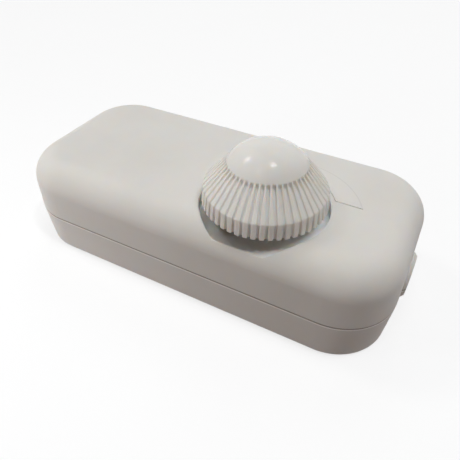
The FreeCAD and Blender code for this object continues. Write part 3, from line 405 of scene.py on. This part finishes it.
# Screws and nut: zinc-plated steel, turned and slotted. They hold the case from below, the clamps, the
# wires and the triac, and their plating is dull, but bright along the edges that a blade has worn.
screw_steel = surface("screw_steel", (0.62, 0.61, 0.58), (0.50, 0.49, 0.47), (0.80, 0.79, 0.77), 0.0025,
                      (0.26, 0.46), (0.00014, 0.000008), metal=1.0)
for name in ("case_screws", "clamp_screws", "terminal_screws", "triac_screw", "triac_nut"):
    dress(nodes[name].data, screw_steel)

# Knob: one hollow moulding of the case's plastic, pushed on the flatted shaft by the hub inside. Below
# the smooth dome, 50 straight flutes run down the cone and through the rim, each from a small pocket.
FLUTES = 50
FLUTE_PITCH = 2 * math.pi / FLUTES
DOME_EDGE, DOME_RISE, KNOB_TOP = 7.9, 3.9, 37.2
DOME_BALL = (DOME_EDGE ** 2 + DOME_RISE ** 2) / (2 * DOME_RISE)
BORE_RADIUS, BORE_FLAT = 3.02, 1.52
# Half of a flute across: millimetres from its middle, share of the way on to the middle of the rib, and
# how deep the surface lies between rib and flute floor.
flute_half = [(0.0, 0.0, 1.0), (0.10, 0.0, 1.0), (0.17, 0.0, 0.985), (0.22, 0.0, 0.92), (0.26, 0.0, 0.78),
              (0.29, 0.0, 0.60), (0.32, 0.0, 0.38), (0.345, 0.0, 0.20), (0.37, 0.0, 0.08),
              (0.40, 0.0, 0.02), (0.43, 0.0, 0.0), (0.43, 0.5, 0.0), (0.43, 1.0, 0.0)]
columns = [(-1, *point) for point in reversed(flute_half[1:])]
columns += [(1, *point) for point in flute_half[:-1]]
# Rows from the dome's middle to the bore, in millimetres: radius and height on a rib and in a flute.
knob_rows = []
for share in (0.02, 0.1, 0.2, 0.3, 0.4, 0.5, 0.6, 0.7, 0.79, 0.87, 0.93, 0.965):
    radius = DOME_EDGE * share
    on_dome = (radius, KNOB_TOP - DOME_BALL + math.sqrt(DOME_BALL ** 2 - radius ** 2))
    knob_rows.append((on_dome, on_dome))
# The pocket under the dome, the cone, and the rim with its rounded foot.
knob_rows += [((7.75, 33.49), (7.75, 33.49)), ((7.83, 33.39), (7.83, 33.38)),
              ((7.90, 33.30), (7.885, 33.25)), ((7.98, 33.21), (7.91, 33.05)),
              ((8.07, 33.10), (7.92, 32.75)), ((8.17, 32.98), (7.94, 32.45)),
              ((8.30, 32.83), (8.02, 32.27)), ((8.55, 32.54), (8.25, 32.05)),
              ((9.30, 31.66), (9.20, 31.28)), ((10.40, 30.37), (10.20, 30.14)),
              ((11.50, 29.09), (11.30, 28.87)), ((12.20, 28.27), (11.98, 28.09)),
              ((12.50, 27.92), (12.22, 27.81)), ((12.55, 27.85), (12.30, 27.70)),
              ((12.59, 27.76), (12.37, 27.58)), ((12.616, 27.645), (12.40, 27.42)),
              ((12.70, 26.80), (12.40, 26.80)), ((12.82, 25.65), (12.40, 25.65)),
              ((12.925, 24.62), (12.40, 24.62)), ((12.935, 24.50), (12.38, 24.47)),
              ((12.90, 24.42), (12.34, 24.41)), ((12.83, 24.40), (12.27, 24.40))]
# The plain inside: the wall, the ceiling, the hub and the bore.
inside = ((10.83, 24.40), (10.68, 24.55), (10.68, 26.80), (10.58, 27.12), (8.10, 30.02), (7.80, 30.25),
          (4.90, 30.25), (4.60, 29.95), (4.60, 22.35), (4.45, 22.20), (3.17, 22.20), (BORE_RADIUS, 22.35),
          (BORE_RADIUS, 32.82))
knob_rows += [(point, point) for point in inside]
knob_corners = [(0.0, 0.0, KNOB_TOP)]
for (rib_radius, rib_height), (floor_radius, floor_height) in knob_rows:
    flat = BORE_FLAT if rib_radius == BORE_RADIUS else math.inf
    for flute in range(FLUTES):
        for side, aside, share, depth in columns:
            radius = rib_radius + depth * (floor_radius - rib_radius)
            wall = math.asin(aside / max(radius, DOME_EDGE))
            turn = flute * FLUTE_PITCH + side * (wall + share * (FLUTE_PITCH / 2 - wall))
            height = rib_height + depth * (floor_height - rib_height)
            knob_corners.append((radius * math.cos(turn), min(radius * math.sin(turn), flat), height))
knob_corners.append((0.0, 0.0, knob_rows[-1][0][1]))
around = FLUTES * len(columns)
knob_faces = []
for step in range(around):
    following = (step + 1) % around
    knob_faces.append((0, 1 + step, 1 + following))
    for row in range(len(knob_rows) - 1):
        here, below = 1 + row * around, 1 + (row + 1) * around
        knob_faces.append((here + step, below + step, below + following, here + following))
    last = 1 + (len(knob_rows) - 1) * around
    knob_faces.append((last + step, len(knob_corners) - 1, last + following))
knob_mesh = bpy.data.meshes.new("ribbed_knob")
knob_mesh.from_pydata([Vector(corner) / 1000 for corner in knob_corners], [], knob_faces)
knob_mesh.shade_smooth()
ribbed_knob = bpy.data.objects.new("ribbed_knob", knob_mesh)
bpy.context.scene.collection.objects.link(ribbed_knob)
ribbed_knob.location = DIAL_AXIS
POLISH_START, POLISH_END, POLISH = 0.0332, 0.0336, 0.24
knob_plastic = surface("knob_plastic", (0.770, 0.750, 0.713), (0.743, 0.720, 0.680), RUBBED_WHITE, 0.012,
                       (0.40, 0.44), (0.00025, 0.000003), shine=0.2)
translucent(knob_plastic, 0.0008)
smooth_part = spread(knob_plastic, where(knob_plastic, "Z"), POLISH_START, POLISH_END)
knob_gloss = shader_of(knob_plastic).inputs["Roughness"]
satin = knob_gloss.links[0].from_socket
polish = sum_of(knob_plastic, "MULTIPLY", smooth_part, POLISH)
polished = sum_of(knob_plastic, "SUBTRACT", satin, polish)
knob_plastic.links.new(polished, knob_gloss)
# Dust and painted shade in the flute pockets and other fine hollows, following an occlusion mask.
paint(knob_plastic, hollow_mask(knob_plastic, 0.0008), DUST_AND_SHADE, 0.06)
dress(knob_mesh, knob_plastic)
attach(ribbed_knob, "dial")
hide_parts("knob")

# Floor, light and camera: a pale studio table under eight round lamps, of which the dome mirrors three
# softboxes, and a weak room light. The camera stands where the photograph was taken from. The table lies
# a hair below the base, so that the two never share a plane.
FLOOR_DROP = 0.00002
floor_mesh = bpy.data.meshes.new("floor")
floor_mesh.from_pydata([(-3, -3, 0), (3, -3, 0), (3, 3, 0), (-3, 3, 0)], [], [(0, 1, 2, 3)])
floor = bpy.data.objects.new("floor", floor_mesh)
bpy.context.scene.collection.objects.link(floor)
floor.location.z = -FLOOR_DROP


def seen_directly(tree):
    """1 for what the camera sees, also in a mirror or through glass."""
    ray = add(tree, "LightPath")
    seen = sum_of(tree, "MAXIMUM", ray.outputs["Is Camera Ray"], ray.outputs["Is Glossy Ray"])
    return sum_of(tree, "MAXIMUM", seen, ray.outputs["Is Transmission Ray"])


paper = bpy.data.materials.new("floor_paper")
paper.use_nodes = True
tree = paper.node_tree
tree.nodes.remove(tree.nodes["Principled BSDF"])
fibre = noise(tree, add(tree, "TexCoord").outputs["Object"], 40.0)
shown = add(tree, "BsdfDiffuse", Color=mixed(tree, fibre, (0.96, 0.96, 0.96), (0.985, 0.985, 0.985)))
glow = add(tree, "Emission", Color=(1, 1, 1, 1), Strength=1.0)
bright = add(tree, "MixShader", Fac=0.75)
tree.links.new(shown.outputs[0], bright.inputs[1])
tree.links.new(glow.outputs[0], bright.inputs[2])
dull = add(tree, "BsdfDiffuse", Color=(0.38, 0.31, 0.29, 1.0))
either = add(tree, "MixShader", Fac=seen_directly(tree))
tree.links.new(dull.outputs[0], either.inputs[1])
tree.links.new(bright.outputs[0], either.inputs[2])
tree.links.new(either.outputs[0], tree.nodes["Material Output"].inputs["Surface"])
floor_mesh.materials.append(paper)

world = bpy.data.worlds.new("studio")
world.use_nodes = True
bpy.context.scene.world = world
tree = world.node_tree
room = tree.nodes["Background"]
room.inputs["Color"].default_value = (0.97, 0.98, 1.0, 1.0)
room.inputs["Strength"].default_value = 0.05
white = add(tree, "Background", Color=(1, 1, 1, 1), Strength=1.0)
either = add(tree, "MixShader", Fac=seen_directly(tree))
tree.links.new(room.outputs[0], either.inputs[1])
tree.links.new(white.outputs[0], either.inputs[2])
tree.links.new(either.outputs[0], tree.nodes["World Output"].inputs["Surface"])

SUBJECT = Vector((0.005, -0.003, 0.020))
COOL, WARM = (0.97, 0.985, 1.0), (1.0, 0.975, 0.935)
MIRRORED = ("softbox_left", "softbox_top", "softbox_front")
LAMPS = (("softbox_left", (-1.30, 0.04, 1.53), 0.45, 6.4, WARM),
         ("softbox_top", (0.44, 0.00, 1.99), 0.40, 8.4, COOL),
         ("softbox_front", (-0.25, -0.84, 1.84), 0.25, 1.8, WARM),
         ("softbox_back", (-0.40, 1.20, 1.52), 0.90, 4.6, COOL),
         ("softbox_end", (1.10, 0.80, 0.90), 0.50, 1.3, COOL),
         ("key_lamp", (0.80, -0.14, 1.74), 0.10, 8.8, COOL),
         ("lamp_above", (0.02, -0.02, 0.45), 0.15, 0.28, COOL),
         ("reflector", (-0.11, -0.11, 0.03), 0.05, 0.076, COOL))
for name, spot, size, watts, tint in LAMPS:
    lamp = bpy.data.lights.new(name, "AREA")
    lamp.shape = "DISK"
    lamp.size = size
    lamp.energy = watts
    lamp.color = tint
    light = bpy.data.objects.new(name, lamp)
    light.location = spot
    light.visible_camera = False
    light.visible_glossy = name in MIRRORED
    light.rotation_euler = (light.location - SUBJECT).to_track_quat("Z", "Y").to_euler()
    bpy.context.scene.collection.objects.link(light)

CAMERA_TURN = math.radians(27.238)
CAMERA_RISE = math.radians(41.637)
CAMERA_ROLL = math.radians(0.739)
CAMERA_BACK, CAMERA_RIGHT, CAMERA_UP = 0.11731, 0.002466, 0.002847
back = Vector((math.sin(CAMERA_TURN) * math.cos(CAMERA_RISE),
               -math.cos(CAMERA_TURN) * math.cos(CAMERA_RISE),
               math.sin(CAMERA_RISE)))
level = Vector((math.cos(CAMERA_TURN), math.sin(CAMERA_TURN), 0.0))
upright = back.cross(level)
right = math.cos(CAMERA_ROLL) * level + math.sin(CAMERA_ROLL) * upright
up = math.cos(CAMERA_ROLL) * upright - math.sin(CAMERA_ROLL) * level
lens = bpy.data.cameras.new("camera")
lens.sensor_width = 36.0
lens.lens = 35.044
lens.clip_start = 0.005
camera = bpy.data.objects.new("camera", lens)
stand = CAMERA_BACK * back + CAMERA_RIGHT * right + CAMERA_UP * up
camera.matrix_world = Matrix.Translation(stand) @ Matrix((right, up, back)).transposed().to_4x4()
bpy.context.scene.collection.objects.link(camera)
bpy.context.scene.camera = camera
bpy.context.scene.view_settings.view_transform = "Standard"
